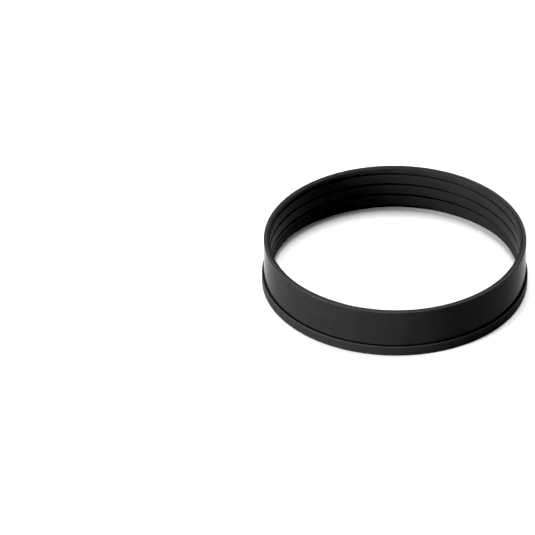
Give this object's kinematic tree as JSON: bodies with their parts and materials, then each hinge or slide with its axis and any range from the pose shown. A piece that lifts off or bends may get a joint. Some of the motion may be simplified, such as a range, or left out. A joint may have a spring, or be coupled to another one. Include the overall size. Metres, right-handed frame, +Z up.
{
  "type": "threaded coupling ring",
  "caption": "Short thin-walled black ring with a coarse right-hand thread inside, a smooth outer sleeve and a slightly wider foot lip.",
  "frame": {"origin": "on the ring's axis, in the plane that the foot ring stands on", "axes": "+Z up along the ring's axis, from the foot lip to the open threaded mouth; +Y is the side on which the thread groove's middle stands at 8.68 mm"},
  "size_m": [0.0528, 0.0528, 0.01],
  "materials": {
    "sleeve_anodised": "smooth semi-matt black anodised, fine turning marks",
    "thread_anodised": "semi-matt black anodised thread",
    "foot_anodised": "semi-matt black anodised, fine turning marks",
    "joining_anodised": "matt black anodised"
  },
  "bodies": {
    "root": {"outer_sleeve": "sleeve_anodised", "threaded_insert": "thread_anodised", "foot_ring": "foot_anodised", "joining_ring": "joining_anodised"}
  },
  "joints": []
}
